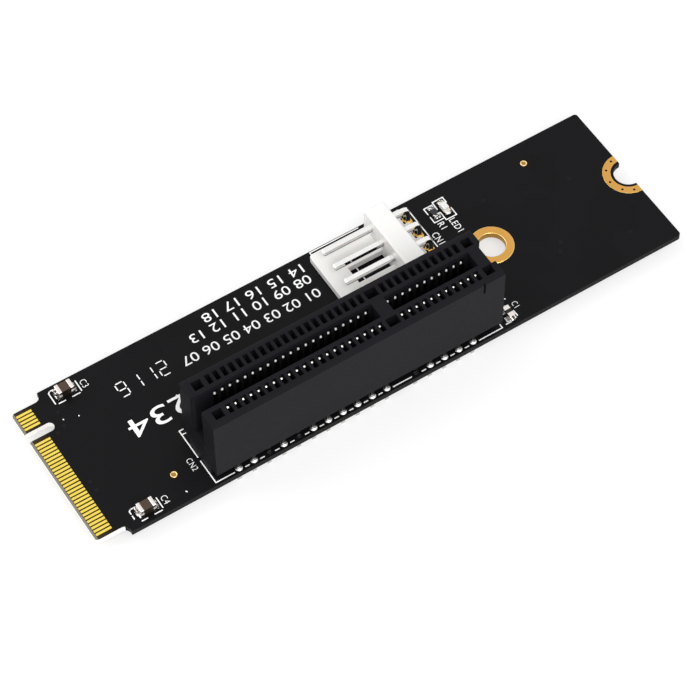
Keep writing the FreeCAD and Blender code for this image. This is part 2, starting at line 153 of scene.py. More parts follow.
def dress(node_name, finish):
    """Give a carried-over node its finish."""
    for material_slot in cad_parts[node_name].material_slots:
        material_slot.material = finish


# Liquid solder mask: satin, slightly orange-peeled, raised and a shade lighter over copper.
solder_mask, tree, shader = start_finish("black_solder_mask", {"Specular IOR Level": 0.09})
place = add_node(tree, "TexCoord")
axes = add_node(tree, "SeparateXYZ", links={0: place.outputs["Object"]})
across = add_node(tree, "Math", {"operation": "PINGPONG", 1: trace_pitch / 2},
                  {0: axes.outputs["Y"]})
trace_line = add_node(tree, "MapRange", {"From Min": trace_half_width * (1 + trace_blur),
                                         "From Max": trace_half_width * (1 - trace_blur)},
                      {"Value": across})
along_traces = add_node(tree, "Math", {"operation": "COMPARE", 1: (trace_start + trace_end) / 2,
                                       2: (trace_end - trace_start) / 2}, {0: axes.outputs["X"]})
across_traces = add_node(tree, "Math", {"operation": "COMPARE", 1: 0.0, 2: trace_reach},
                         {0: axes.outputs["Y"]})
trace_area = add_node(tree, "Math", {"operation": "MULTIPLY"}, {0: along_traces, 1: across_traces})
traces = add_node(tree, "Math", {"operation": "MULTIPLY"}, {0: trace_area, 1: trace_line})
copper_pour = add_node(tree, "TexNoise", {"Scale": 1 / pour_patch, "Detail": 1.0},
                       {"Vector": place.outputs["Object"]})
pour_edge = add_node(tree, "MapRange", {"From Min": 0.5 - pour_blur, "From Max": 0.5 + pour_blur},
                     {"Value": copper_pour})
clear_of_traces = add_node(tree, "Math", {"operation": "SUBTRACT", 0: 1.0}, {1: trace_area})
pour = add_node(tree, "Math", {"operation": "MULTIPLY"}, {0: pour_edge, 1: clear_of_traces})
copper = add_node(tree, "Math", {"operation": "MAXIMUM"}, {0: pour, 1: traces})
mask_colour = add_node(tree, "Mix", {"data_type": "RGBA", 6: mask_black, 7: mask_over_copper},
                       {0: copper})
bare, at_bevel, on_tab = (
    add_node(tree, "Math", {"operation": "LESS_THAN", 1: length}, {0: axes.outputs["X"]})
    for length in (bare_length, bevel_length, tab_side_length))
towards_lip = add_node(tree, "MapRange", {"From Min": bare_length, "From Max": bevel_length},
                       {"Value": axes.outputs["X"]})
between_contacts = add_node(tree, "Mix", {"data_type": "RGBA", 6: bare_laminate_and_gap_shade, 7: bare_near_lip},
                            {0: towards_lip})
laminate_colour = add_node(tree, "Mix", {"data_type": "RGBA", 7: bare_lip},
                           {0: at_bevel, 6: between_contacts})
face_colour = add_node(tree, "Mix", {"data_type": "RGBA"},
                       {0: bare, 6: mask_colour, 7: laminate_colour})
facing = add_node(tree, "NewGeometry")
facing_axes = add_node(tree, "SeparateXYZ", links={0: facing.outputs["True Normal"]})
on_side = add_node(tree, "Math", {"operation": "COMPARE", 1: 0.0, 2: face_steepness},
                   {0: facing_axes.outputs["Z"]})
side_colour = add_node(tree, "Mix", {"data_type": "RGBA", 6: routed_side, 7: routed_tab_side},
                       {0: on_tab})
board_colour = add_node(tree, "Mix", {"data_type": "RGBA"},
                        {0: on_side, 6: face_colour, 7: side_colour})
link(tree, shader, {"Base Color": board_colour})
grain(tree, shader, size=0.35 * mm, depth=0.004 * mm, roughness=(0.42, 0.55), also_height=copper)
dress("circuit_board", solder_mask)

# --- Covered vias -----------------------------------------
# Small drilled and plated holes that join the two faces. The mask closes them, and each shows as a
# faint ring. The places are in millimetres.
merge_distance = 0.001 * mm
smooth_angle = math.radians(50)
via_radius = 0.24 * mm
via_sides = 16
covered_vias = ((4.75, 7.41), (4.44, 5.37), (3.34, 4.88), (3.22, -2.78), (3.31, -4.14),
                (62.9, 6.1), (66.4, -5.2), (67.2, -4.1), (73.5, 3.2), (75.1, -7.4))
underside_vias = ((6.0, -5.1), (7.5, -2.6), (9.2, 1.4), (8.1, 4.8), (11.4, -4.2), (12.6, 6.4),
                  (57.2, -3.1), (58.0, 4.6), (64.5, 4.4), (69.0, -6.3), (72.8, 2.2))


def turned(rings, sides, hollow=False):
    """Piece of revolution about the Z axis, drawn ring by ring as (radius, height)."""
    bpy.ops.object.select_all(action="DESELECT")
    radius, height = rings[0]
    bpy.ops.mesh.primitive_circle_add(vertices=sides, radius=radius, location=(0, 0, height),
                                      fill_type="NOTHING" if hollow else "NGON")
    piece = bpy.context.object
    bpy.ops.object.transform_apply()
    bpy.ops.object.mode_set(mode="EDIT")
    for next_radius, next_height in rings[1:]:
        bpy.ops.mesh.extrude_region_move(
            TRANSFORM_OT_translate={"value": (0, 0, next_height - height)})
        bpy.ops.transform.resize(value=(next_radius / radius, next_radius / radius, 1),
                                 center_override=(0, 0, next_height))
        radius, height = next_radius, next_height
    bpy.ops.mesh.select_all(action="SELECT")
    bpy.ops.mesh.remove_doubles(threshold=merge_distance)
    bpy.ops.mesh.normals_make_consistent(inside=False)
    bpy.ops.object.mode_set(mode="OBJECT")
    bpy.ops.object.shade_smooth_by_angle(angle=smooth_angle)
    return piece


def join(pieces):
    """Make several mesh pieces one."""
    bpy.ops.object.select_all(action="DESELECT")
    for piece in pieces:
        piece.select_set(True)
    bpy.context.view_layer.objects.active = pieces[0]
    bpy.ops.object.join()
    return pieces[0]


def copy_to(pattern, places):
    """Copy a pattern piece to each place, given as a matrix, and join the copies."""
    copies = []
    for place in places:
        copy = bpy.data.objects.new(pattern.name, pattern.data.copy())
        copy.data.transform(place)
        bpy.context.scene.collection.objects.link(copy)
        copies.append(copy)
    bpy.data.objects.remove(pattern)
    return join(copies)


def on_top(x, y):
    """Matrix that stands a piece on the board's top face."""
    return Matrix.Translation((x, y, board_top))


def set_out(pattern, top, underside=()):
    """Copy a pattern piece to points on the board's top face and, turned over, on its underside."""
    places = [on_top(x, y) for x, y in top]
    places += [Matrix.Translation((x, y, board_low.z)) @ Matrix.Rotation(math.pi, 4, "X")
               for x, y in underside]
    return copy_to(pattern, places)


def fit(piece, name, finish, replaced=()):
    """Name a finished piece, give it its finish and fix it to the card."""
    piece.name = piece.data.name = name
    piece.data.materials.clear()
    piece.data.materials.append(finish)
    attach(piece, "root")
    if replaced:
        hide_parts(*replaced)


# Mask sunk over a hole: a shade lighter than round it, and as satin.
via_mask, tree, shader = start_finish(
    "mask_over_via", {"Base Color": "#101012", "Specular IOR Level": 0.12})
grain(tree, shader, size=0.2 * mm, depth=0.002 * mm, roughness=(0.4, 0.5))
via_rings = [(via_radius, 0), (via_radius * 0.9, 0.006 * mm), (via_radius * 0.75, 0.008 * mm),
             (via_radius * 0.5, 0.004 * mm), (via_radius * 0.25, 0.002 * mm)]
vias = set_out(turned(via_rings, via_sides), [(x * mm, y * mm) for x, y in covered_vias],
               [(x * mm, y * mm) for x, y in covered_vias + underside_vias])
fit(vias, "covered_vias", via_mask)

# --- Gold contacts, rings and pads ------------------------
# Copper plated with nickel and a flash of gold. The tab's contacts carry fine lines from sliding
# into the socket; the round pads are thicker along their rims, where the plating builds up, and the
# rims are coloured a paler gold, a painted highlight.
finger_yellow = "#eecb45"
finger_pale = "#f6e072"
# Near black painted shade for the contacts' etched sides.
finger_side_painted_shade = "#1b1102"
# Paler gold, a painted highlight on the rings' rims.
rim_painted_highlight = "#f9da86"
copper_thickness = 0.04 * mm
contact_rounding = 0.037 * mm
end_pad_rounding = 0.03 * mm
scratch_width = mm / 9
scratch_stretch = 0.12


def toned_grain(tree, shader, size, depth, roughness, tones):
    """Surface grain whose colour varies with it between two tones; gives its place and its tone."""
    place, speckle = grain(tree, shader, size, depth, roughness)
    tone = add_node(tree, "Mix", {"data_type": "RGBA", 6: tones[0], 7: tones[1]}, {0: speckle})
    link(tree, shader, {"Base Color": tone})
    return place, tone


def toned_finish(name, settings, **surface):
    """New material with a toned grain and nothing over it."""
    finish, tree, shader = start_finish(name, settings)
    toned_grain(tree, shader, **surface)
    return finish


def side_measure(tree, level, steep):
    """0 on level faces and 1 on sides, between two heights of the surface's own direction."""
    facing = add_node(tree, "NewGeometry")
    facing_axes = add_node(tree, "SeparateXYZ", links={0: facing.outputs["Normal"]})
    levelness = add_node(tree, "Math", {"operation": "ABSOLUTE"}, {0: facing_axes.outputs["Z"]})
    return add_node(tree, "MapRange", {"From Min": level, "From Max": steep},
                    {"Value": levelness})


def whole_copy(node_name):
    """Copy of a CAD node, its loose triangles merged and its flat faces made whole."""
    bpy.ops.object.select_all(action="DESELECT")
    piece = bpy.data.objects.new(node_name + "_copy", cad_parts[node_name].data.copy())
    bpy.context.scene.collection.objects.link(piece)
    bpy.context.view_layer.objects.active = piece
    piece.select_set(True)
    bpy.ops.mesh.customdata_custom_splitnormals_clear()
    bpy.ops.object.mode_set(mode="EDIT")
    bpy.ops.mesh.select_all(action="SELECT")
    bpy.ops.mesh.remove_doubles(threshold=merge_distance)
    bpy.ops.mesh.dissolve_limited(angle_limit=math.radians(0.5))
    bpy.ops.object.mode_set(mode="OBJECT")
    return piece


def round_edges(piece, radius, segments=2, sharp_angle=40):
    """Round every sharp edge of the active piece and shade it as one moulded surface."""
    bpy.ops.object.shade_smooth_by_angle(angle=math.radians(sharp_angle))
    rounding = piece.modifiers.new("edge_rounding", "BEVEL")
    rounding.width = radius
    rounding.segments = segments
    rounding.limit_method = "ANGLE"
    rounding.angle_limit = math.radians(sharp_angle)
    rounding.harden_normals = True
    bpy.ops.object.modifier_apply(modifier=rounding.name)
    return piece


# Hard gold on the contacts: bright and yellow, brushed lengthwise by the socket's springs, and
# coloured near black down the etched sides, a painted shade. The scratches are drawn about ten
# times as wide as real ones, to show.
finger_gold, tree, shader = start_finish("hard_gold_on_contacts", {"Metallic": 1.0})
place = add_node(tree, "TexCoord")
lengthwise = add_node(tree, "Mapping", {"Scale": (scratch_stretch, 1.0, 1.0)},
                      {"Vector": place.outputs["Object"]})
scratches = add_node(tree, "TexNoise", {"Scale": 1 / scratch_width, "Detail": 3.0},
                     {"Vector": lengthwise})
finger_shade = add_node(tree, "Mix", {"data_type": "RGBA", 6: finger_yellow, 7: finger_pale},
                        {0: scratches})
finger_colour = add_node(tree, "Mix", {"data_type": "RGBA", 7: finger_side_painted_shade},
                         {0: side_measure(tree, level=0.99, steep=0.93), 6: finger_shade})
link(tree, shader, {"Base Color": finger_colour})
grain(tree, shader, size=0.08 * mm, depth=0.002 * mm, roughness=(0.2, 0.34), also_height=scratches)
for face in ("top", "bottom"):
    contacts = round_edges(whole_copy("edge_contacts_" + face), contact_rounding)
    fit(contacts, "edge_contact_row_" + face, finger_gold, ["edge_contacts_" + face])

# Soft gold on the rings: warmer and cloudy, with a painted highlight, a paler gold, on the rims
# that turn away from the flat.
ring_plating, tree, shader = start_finish("immersion_gold_on_rings", {"Metallic": 1.0})
place, cloudy_gold = toned_grain(tree, shader, size=1.6 * mm, depth=0.003 * mm,
                                 roughness=(0.24, 0.38), tones=("#d2a14c", "#d79f58"))
ring_colour = add_node(tree, "Mix", {"data_type": "RGBA", 7: rim_painted_highlight},
                       {0: side_measure(tree, level=0.995, steep=0.95), 6: cloudy_gold})
link(tree, shader, {"Base Color": ring_colour})

ring_low, ring_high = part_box("mid_hole_rings")
mid_hole_x = (ring_low.x + ring_high.x) / 2
ring_outer = (ring_high.x - ring_low.x) / 2
ring_inner = 1.75 * mm
ring_sides = 64
rim_width = 0.14 * mm
rim_rise = 0.012 * mm


def plated_ring(inner, outer):
    """Flat copper ring, its two rims rounded over and standing a little above the flat."""
    flat = copper_thickness - rim_rise
    shoulder = copper_thickness * 0.8
    return turned([(inner, 0), (outer, 0), (outer - rim_width * 0.2, shoulder),
                   (outer - rim_width * 0.5, copper_thickness), (outer - rim_width, flat),
                   (inner + rim_width, flat), (inner + rim_width * 0.5, copper_thickness),
                   (inner + rim_width * 0.2, shoulder), (inner, 0)], ring_sides, hollow=True)


mid_rings = set_out(plated_ring(ring_inner, ring_outer), [(mid_hole_x, 0)], [(mid_hole_x, 0)])
fit(mid_rings, "mid_hole_plated_rings", ring_plating, ["mid_hole_rings"])

# The hole's own wall is plated too, a thin sleeve between the two rings. Its gold is coloured
# browner, a painted shade for the inside of the hole, and is duller because the drill leaves the
# wall rough.
sleeve_gold = toned_finish("gold_in_drilled_wall", {"Metallic": 1.0}, size=0.3 * mm,
                           depth=0.01 * mm, roughness=(0.35, 0.5), tones=("#9a7434", "#b98f47"))
sleeve_thickness = 0.015 * mm
sleeve_inner = ring_inner - sleeve_thickness
sleeve_low = board_low.z - copper_thickness * 0.5
sleeve_top = board_top + copper_thickness * 0.5
sleeve = turned([(ring_inner, sleeve_low), (ring_inner, sleeve_top), (sleeve_inner, sleeve_top),
                 (sleeve_inner, sleeve_low), (ring_inner, sleeve_low)], ring_sides, hollow=True)
sleeve.data.transform(Matrix.Translation((mid_hole_x, 0, 0)))
fit(sleeve, "mid_hole_sleeve", sleeve_gold)

end_pads = round_edges(whole_copy("end_notch_pads"), end_pad_rounding)
fit(end_pads, "end_notch_plated_pads", ring_plating, ["end_notch_pads"])

# Small drilled vias stitch the two half rings of the end notch together. Each is a dark hole, too
# deep for light to come back from, in a raised collar of plating.
end_low, end_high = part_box("end_notch_pads")
end_hole_y = (end_low.y + end_high.y) / 2
stitch_circle = 2.63 * mm
stitch_radius = 0.17 * mm
stitch_sides = 14
collar_sides = 16
stitch_turns = [math.radians(turn) for turn in (105.5, 139.5, 180, 220.5, 252)]
stitches = [(end_high.x + stitch_circle * math.cos(turn),
             end_hole_y + stitch_circle * math.sin(turn)) for turn in stitch_turns]
dark_hole, tree, shader = start_finish(
    "shadow_in_drilled_via", {"Base Color": "#140a03", "Specular IOR Level": 0.1})
grain(tree, shader, size=0.05 * mm, depth=0.004 * mm, roughness=(0.6, 0.8))
stitch_rings = [(stitch_radius, 0), (stitch_radius, copper_thickness * 0.6),
                (stitch_radius * 0.9, copper_thickness * 1.1),
                (stitch_radius * 0.5, copper_thickness * 1.05)]
fit(set_out(turned(stitch_rings, stitch_sides), stitches, stitches), "end_notch_stitch_vias",
    dark_hole)
collar_rings = [(stitch_radius, 0), (stitch_radius * 1.9, 0),
                (stitch_radius * 1.7, copper_thickness * 1.15),
                (stitch_radius * 1.1, copper_thickness * 1.2), (stitch_radius, 0)]
fit(set_out(turned(collar_rings, collar_sides, hollow=True), stitches, stitches),
    "end_notch_via_collars", ring_plating)

# Round alignment marks for the placing machine, each with a raised rim in a clearing of the mask.
mark_low, mark_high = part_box("fiducial_marks")
mark_radius = 0.45 * mm
mark_middle = mark_radius * 0.64
mark_sides = 32
clearing_radius = 0.72 * mm
clearing_rise = 0.006 * mm
mark_places = [(mark_high.x - mark_radius, mark_high.y - mark_radius),
               (mark_low.x + mark_radius, mark_low.y + mark_radius)]
middle_rings = [(mark_middle, 0), (mark_middle, copper_thickness * 0.4),
                (mark_middle * 0.5, copper_thickness * 0.35)]
fit(set_out(turned(middle_rings, mark_sides), mark_places), "alignment_marks", sleeve_gold,
    ["fiducial_marks"])

# Gold on a raised rim, all of it coloured paler than the flat, a painted highlight on its round.
rim_gold_with_painted_highlight = toned_finish("raised_rim_gold_painted_highlight", {"Metallic": 1.0}, size=0.2 * mm,
                         depth=0.002 * mm, roughness=(0.3, 0.42), tones=("#efcf92", "#f7dfae"))
mark_rim_rings = [(mark_middle, 0), (mark_radius * 0.95, 0),
                  (mark_radius * 0.93, copper_thickness * 0.6),
                  (mark_radius * 0.86, copper_thickness),
                  (mark_radius * 0.74, copper_thickness * 0.95),
                  (mark_middle, copper_thickness * 0.4), (mark_middle, 0)]
fit(set_out(turned(mark_rim_rings, mark_sides, hollow=True), mark_places), "alignment_mark_rims",
    rim_gold_with_painted_highlight)

# Bare laminate in a clearing: matt, and a dark brown.
clearing_brown, tree, shader = start_finish(
    "laminate_in_mask_clearing", {"Base Color": "#120b05", "Specular IOR Level": 0.1})
grain(tree, shader, size=0.1 * mm, depth=0.004 * mm, roughness=(0.6, 0.75))
clearing_rings = [(mark_radius * 1.02, 0), (clearing_radius, 0),
                  (clearing_radius * 0.97, clearing_rise), (mark_radius * 1.05, clearing_rise),
                  (mark_radius * 1.02, 0)]
fit(set_out(turned(clearing_rings, mark_sides, hollow=True), mark_places),
    "alignment_mark_clearings", clearing_brown)

# --- Slot housing -----------------------------------------
# One injection moulding of glass-filled polyester, matt black with a fine eroded grain from the
# mould; its edges come out slightly rounded. The flow of the glass leaves it cloudy.
housing_rounding = 0.05 * mm
housing_black = "#151418"
housing_flow = "#1a191d"
flow_patch = mm * 25 / 3
moulded_black, tree, shader = start_finish("black_moulded_polyester", {"Specular IOR Level": 0.06})
place, speckle = grain(tree, shader, size=0.12 * mm, depth=0.003 * mm, roughness=(0.42, 0.56))
flow = add_node(tree, "TexNoise", {"Scale": 1 / flow_patch, "Detail": 2.0},
                {"Vector": place.outputs["Object"]})
flow_shade = add_node(tree, "Mix", {"data_type": "RGBA", 6: housing_black, 7: housing_flow},
                      {0: flow})
link(tree, shader, {"Base Color": flow_shade})
housing = round_edges(whole_copy("slot_housing"), housing_rounding)
fit(housing, "slot_moulding", moulded_black, ["slot_housing"])

# --- Slot contacts ----------------------------------------
# Springs stamped from phosphor bronze strip and plated: gold over nickel at the contact point, tin
# on the tails. They stand in the shade of the cavities, and that shade is painted into them: above
# the tinned tails they are coloured near black, a painted shade, and only their free ends and
# contact points carry painted highlights, near white.
# Near black painted shade for the springs above the tinned tails.
spring_painted_shade = "#2d2924"
# Near-white painted highlight on the springs' free ends and contact points.
spring_painted_highlight = "#fffdf8"
tail_tin = "#c8c6c2"
free_end_height = 11.36 * mm
contact_point_height = 10.52 * mm
contact_point_reach = 1.4 * mm
highlight_band = 0.06 * mm
end_highlight_half, end_highlight_core = 0.12 * mm, 0.05 * mm
point_highlight_half, point_highlight_core = 0.2 * mm, 0.12 * mm
tin_start, tin_full = 1.15 * mm, 0.95 * mm
contact_pitch = 1.0 * mm
contact_half_width = 0.225 * mm
key_gap = 3.0 * mm
long_count = 21
short_count = 11
slot_low, slot_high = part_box("slot_housing")
slot_middle = (slot_low.y + slot_high.y) / 2
first_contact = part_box("slot_contacts_near_outer")[0].x + contact_half_width
steps = [step * contact_pitch for step in range(long_count)]
steps += [steps[-1] + key_gap + step * contact_pitch for step in range(short_count)]
contact_places = [first_contact + step for step in steps]

spring_metal, tree, shader = start_finish("plated_phosphor_bronze", {"Metallic": 1.0})
place, speckle = grain(tree, shader, size=0.25 * mm, depth=0.004 * mm, roughness=(0.32, 0.46))
axes = add_node(tree, "SeparateXYZ", links={0: place.outputs["Object"]})
free_end = add_node(tree, "MapRange",
                    {"From Min": free_end_height, "From Max": free_end_height + highlight_band},
                    {"Value": axes.outputs["Z"]})
at_point = add_node(tree, "Math", {"operation": "COMPARE", 1: contact_point_height, 2: highlight_band},
                    {0: axes.outputs["Z"]})
in_channel = add_node(tree, "Math",
                      {"operation": "COMPARE", 1: slot_middle, 2: contact_point_reach},
                      {0: axes.outputs["Y"]})
point_highlight_band = add_node(tree, "Math", {"operation": "MULTIPLY"}, {0: at_point, 1: in_channel})
from_first = add_node(tree, "Math", {"operation": "SUBTRACT", 1: first_contact},
                      {0: axes.outputs["X"]})
from_middle = add_node(tree, "Math", {"operation": "PINGPONG", 1: contact_pitch / 2},
                       {0: from_first})
end_highlight_across, point_highlight_across = (
    add_node(tree, "MapRange", {"From Min": half, "From Max": core}, {"Value": from_middle})
    for half, core in ((end_highlight_half, end_highlight_core), (point_highlight_half, point_highlight_core)))
bright_end = add_node(tree, "Math", {"operation": "MULTIPLY"}, {0: free_end, 1: end_highlight_across})
bright_point = add_node(tree, "Math", {"operation": "MULTIPLY"}, {0: point_highlight_band, 1: point_highlight_across})
# Painted highlights: near-white bands across the free ends and spots at the contact points; the
# contact-point spots are also made barely metallic.
spring_highlight_mask = add_node(tree, "Math", {"operation": "MAXIMUM"}, {0: bright_end, 1: bright_point})
highlight_metallic = add_node(tree, "MapRange", {"To Min": 1.0, "To Max": 0.15}, {"Value": bright_point})
link(tree, shader, {"Metallic": highlight_metallic})
tail = add_node(tree, "MapRange", {"From Min": tin_start, "From Max": tin_full},
                {"Value": axes.outputs["Z"]})
spring_shade = add_node(tree, "Mix", {"data_type": "RGBA", 6: spring_painted_shade, 7: spring_painted_highlight},
                        {0: spring_highlight_mask})
tail_shade = add_node(tree, "Mix", {"data_type": "RGBA", 7: tail_tin}, {0: tail, 6: spring_shade})
link(tree, shader, {"Base Color": tail_shade})
for row in ("near_outer", "near_inner", "far_outer", "far_inner"):
    dress("slot_contacts_" + row, spring_metal)

# Each spring is coined into a small crown where a plugged-in card first rubs on it. The crowns are
# coloured white and barely metallic, a painted highlight.
crown_radius = 0.175 * mm
crown_rise = crown_radius * 0.7
crown_height = 10.5 * mm
crown_reach = 1.2 * mm
crown_tilt = math.radians(65)
crown_sides = 12
crown_painted_highlight = toned_finish("crown_painted_highlight_plating", {"Metallic": 0.12}, size=0.1 * mm,
                           depth=0.002 * mm, roughness=(0.25, 0.35), tones=("#fbf8f2", "#ffffff"))
crown_rings = [(crown_radius * math.cos(turn), crown_rise * math.sin(turn))
               for turn in (0, 0.4, 0.8, 1.2, 1.45)]
crown_places = [Matrix.Translation((x, slot_middle + side * crown_reach, crown_height))
                @ Matrix.Rotation(side * crown_tilt, 4, "X")
                for x in contact_places for side in (1, -1)]
fit(copy_to(turned(crown_rings, crown_sides), crown_places), "slot_contact_crowns", crown_painted_highlight)

# --- Power header -----------------------------------------
# A right-angle drive power header: a white nylon moulding with an open tray in front, a wall that
# holds the pins and a ledge behind, pressed on to four square pins of tinned brass wire, with a
# grey line of painted shade along their lower edges.
nylon_rounding = 0.1 * mm
pin_rounding = 0.03 * mm
pin_size = 0.64 * mm
shade_line_half = 0.09 * mm
# Grey painted shade along the pins' lower edges.
pin_painted_shade_grey = "#5d5a56"
leg_hole_radius = 0.42 * mm
pin_names = ["header_pin_" + str(number) for number in range(1, 5)]

# Natural nylon: a slightly grey white, milky, because a little light sinks in and comes out again.
white_nylon = toned_finish(
    "white_moulded_nylon",
    {"Subsurface Weight": 0.08, "Subsurface Scale": 0.3 * mm, "Specular IOR Level": 0.4},
    size=0.2 * mm, depth=0.006 * mm, roughness=(0.32, 0.44), tones=("#e6e5e3", "#f0eeeb"))
header = round_edges(whole_copy("header_housing"), nylon_rounding, segments=3)
fit(header, "power_header_moulding", white_nylon, ["header_housing"])

# Tinned drawn wire: nearly a mirror, with a grey line of painted shade along the lower edge.
tinned_brass, tree, shader = start_finish("tinned_drawn_brass", {"Metallic": 1.0})
place, drawn = toned_grain(tree, shader, size=0.3 * mm, depth=0.001 * mm, roughness=(0.05, 0.09),
                           tones=("#ecebe9", "#f9f8f6"))
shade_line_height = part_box(pin_names[0])[1].z - pin_size + shade_line_half
axes = add_node(tree, "SeparateXYZ", links={0: place.outputs["Object"]})
pin_painted_shade_line = add_node(tree, "Math", {"operation": "COMPARE", 1: shade_line_height, 2: shade_line_half},
                    {0: axes.outputs["Z"]})
pin_shade = add_node(tree, "Mix", {"data_type": "RGBA", 7: pin_painted_shade_grey}, {0: pin_painted_shade_line, 6: drawn})
link(tree, shader, {"Base Color": pin_shade})
for number, pin_name in enumerate(pin_names, 1):
    fit(round_edges(whole_copy(pin_name), pin_rounding), "power_pin_" + str(number), tinned_brass,
        [pin_name])

pads_low, pads_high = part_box("header_pads")
leg_x = (pads_low.x + pads_high.x) / 2
leg_radius = (pads_high.x - pads_low.x) / 2
leg_places = [(leg_x, sum(corner.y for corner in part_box(pin_name)) / 2) for pin_name in pin_names]
leg_pads = set_out(plated_ring(leg_hole_radius, leg_radius), leg_places)
fit(leg_pads, "power_pin_pads", ring_plating, ["header_pads"])

# --- Chips ------------------------------------------------
# Two-ended surface parts placed by machine: fired ceramic capacitors, a thick-film resistor on
# alumina, and a white light-emitting diode. Each has plated end caps that wrap round the body.
# Near black painted shade for the capacitors' sides.
side_painted_shade_brown = "#1d150d"
chip_rounding = 0.07 * mm
resistor_rounding = 0.05 * mm
diode_rounding = 0.04 * mm
lens_rounding = 0.1 * mm
capacitor_cap = 0.47 * mm
slot_capacitor_cap = 0.6 * mm
resistor_cap = 0.42 * mm
diode_cap = 0.27 * mm


def rounded_block(low, high, radius):
    """Block between two corners with rounded edges."""
    bpy.ops.object.select_all(action="DESELECT")
    bpy.ops.mesh.primitive_cube_add(size=1, location=(low + high) / 2, scale=high - low)
    piece = bpy.context.object
    bpy.ops.object.transform_apply()
    return round_edges(piece, radius, segments=3)


def fit_block(node_name, radius, name, finish):
    """Rounded block in the box of a CAD node, fitted in its stead."""
    fit(rounded_block(*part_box(node_name), radius), name, finish, [node_name])


def fit_caps(node_name, along, length, radius, name, finish):
    """Two end caps of a chip, fitted in the stead of its terminals; along is the chip's axis."""
    low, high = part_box(node_name)
    caps = []
    for outer, sign in ((low[along], 1), (high[along], -1)):
        cap_low, cap_high = low.copy(), high.copy()
        cap_low[along] = min(outer, outer + sign * length)
        cap_high[along] = max(outer, outer + sign * length)
        caps.append(rounded_block(cap_low, cap_high, radius))
    fit(join(caps), name, finish, [node_name])


# Fired capacitor ceramic: satin brown on top, with painted shade, near black, down the sides.
ceramic, tree, shader = start_finish("fired_barium_titanate", {"Specular IOR Level": 0.25})
place, fired = toned_grain(tree, shader, size=0.15 * mm, depth=0.01 * mm, roughness=(0.38, 0.52),
                           tones=("#3b2e25", "#4d3d32"))
facing = add_node(tree, "NewGeometry")
facing_axes = add_node(tree, "SeparateXYZ", links={0: facing.outputs["Normal"]})
side_painted_shade = add_node(tree, "MapRange", {"From Min": 0.8, "From Max": 0.4},
                      {"Value": facing_axes.outputs["Z"]})
block_shade = add_node(tree, "Mix", {"data_type": "RGBA", 7: side_painted_shade_brown},
                       {0: side_painted_shade, 6: fired})
link(tree, shader, {"Base Color": block_shade})

# A darker ceramic, nearly black and as satin.
dark_ceramic = toned_finish("fired_dark_titanate", {"Specular IOR Level": 0.3}, size=0.15 * mm,
                            depth=0.01 * mm, roughness=(0.4, 0.55), tones=("#1a1815", "#27241f"))

# Tin plated in a barrel: a soft, slightly warm shine.
chip_tin = toned_finish("barrel_plated_tin", {"Metallic": 1.0}, size=0.1 * mm, depth=0.006 * mm,
                        roughness=(0.16, 0.24), tones=("#e2d9d4", "#f6efeb"))

# Solder: patches of bright metal between dark patches, a painted reflection of the black board
# round it.
solder_with_painted_reflection, tree, shader = start_finish("solder_painted_dark_reflection", {"Metallic": 1.0})
place, speckle = grain(tree, shader, size=0.26 * mm, depth=0.02 * mm, roughness=(0.12, 0.3))
dark_reflection_patches = add_node(tree, "MapRange", {"From Min": 0.44, "From Max": 0.56}, {"Value": speckle})
solder_patch_colour = add_node(tree, "Mix", {"data_type": "RGBA", 6: "#33302d", 7: "#f3f1ee"}, {0: dark_reflection_patches})
link(tree, shader, {"Base Color": solder_patch_colour})

capacitors = (("far", 0, capacitor_cap, ceramic), ("near", 0, capacitor_cap, ceramic),
              ("slot", 1, slot_capacitor_cap, dark_ceramic))
for place_name, along, cap_length, block_finish in capacitors:
    cad_name = "capacitor_" + place_name
    fit_block(cad_name + "_body", chip_rounding, "ceramic_block_" + place_name, block_finish)
    fit_caps(cad_name + "_terminals", along, cap_length, chip_rounding,
             "ceramic_block_ends_" + place_name, chip_tin)

# Glass printed over the resistor's film: black and glossy.
glaze = toned_finish("resistor_overglaze", {"Specular IOR Level": 0.5}, size=0.2 * mm,
                     depth=0.008 * mm, roughness=(0.22, 0.34), tones=("#0f1012", "#1b1c20"))
fit_block("resistor_body", resistor_rounding, "resistor_block", glaze)
fit_caps("resistor_terminals", 1, resistor_cap, resistor_rounding, "resistor_ends", solder_with_painted_reflection)

# The diode's base is a white laminate, satin and faintly cream.
led_white = toned_finish("white_diode_laminate", {"Specular IOR Level": 0.4}, size=0.1 * mm,
                         depth=0.006 * mm, roughness=(0.4, 0.55), tones=("#e4e1d6", "#f2f0e8"))
fit_block("led_base", diode_rounding, "diode_base", led_white)
fit_caps("led_terminals", 1, diode_cap, diode_rounding, "diode_ends", chip_tin)

# Cast resin with a diffusing powder in it: glossy, milky, and a cool pale grey.
led_resin = toned_finish(
    "milky_diode_resin",
    {"Subsurface Weight": 0.3, "Subsurface Scale": 0.2 * mm, "Specular IOR Level": 0.5},
    size=0.3 * mm, depth=0.004 * mm, roughness=(0.16, 0.26), tones=("#dadbdb", "#e6e7e7"))
fit_block("led_lens", lens_rounding, "diode_lens", led_resin)

# --- Solder -----------------------------------------------
# Tin-silver solder: domes over the slot's tails, concave cones round the tails and legs on the
# underside, where the wave wetted pin and pad, and low fillets that climb the chips' end caps. The
# mask covers three joints, and two vias behind the tab stayed open and filled up.
outer_row = 3.3 * mm
inner_row = 1.25 * mm
joint_sides = 14
cone_sides = 12
dome_radius = 0.48 * mm
dome_rise = 0.22 * mm
covered_joints = (3, 5, 12)
masked_width, masked_height = 0.8, 0.6
filled_via_radius = 0.1 * mm
filled_vias = ((6.54, 5.66), (4.78, 6.17))

